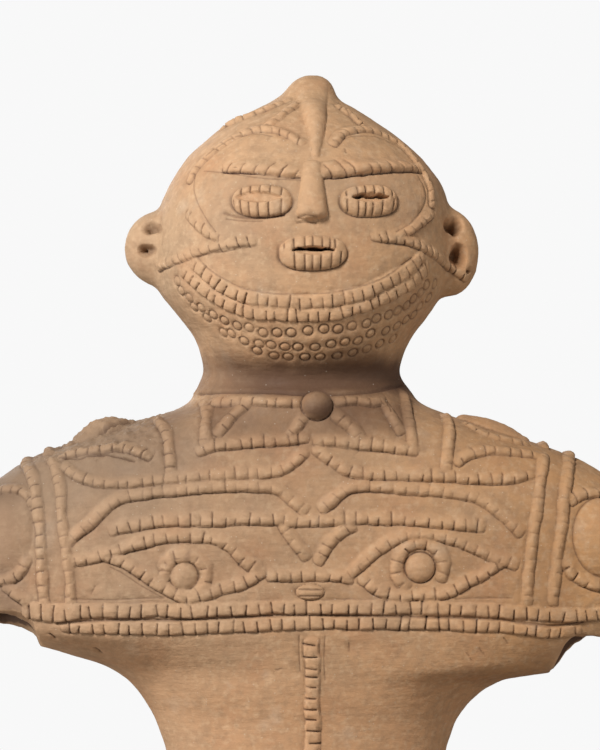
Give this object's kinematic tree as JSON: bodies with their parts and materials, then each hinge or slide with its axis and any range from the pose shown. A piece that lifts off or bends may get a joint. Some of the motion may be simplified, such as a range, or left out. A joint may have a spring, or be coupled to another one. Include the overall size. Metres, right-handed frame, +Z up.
{
  "type": "dogu figurine",
  "caption": "Hollow fired clay standing figurine with a round masked head, rolled and notched clay ornament, and arms broken off below the shoulders.",
  "frame": {"origin": "on the ground under the middle of the figure's bounding box, midway between the feet", "axes": "+Z up, the face looks along -Y, +X runs to the figure's left"},
  "size_m": [0.268, 0.1027, 0.4006],
  "materials": {
    "fired_clay": "matt, unglazed, smoothed by hand, with fine white grit"
  },
  "bodies": {
    "root": {"dogu_figurine": "fired_clay"}
  },
  "joints": []
}
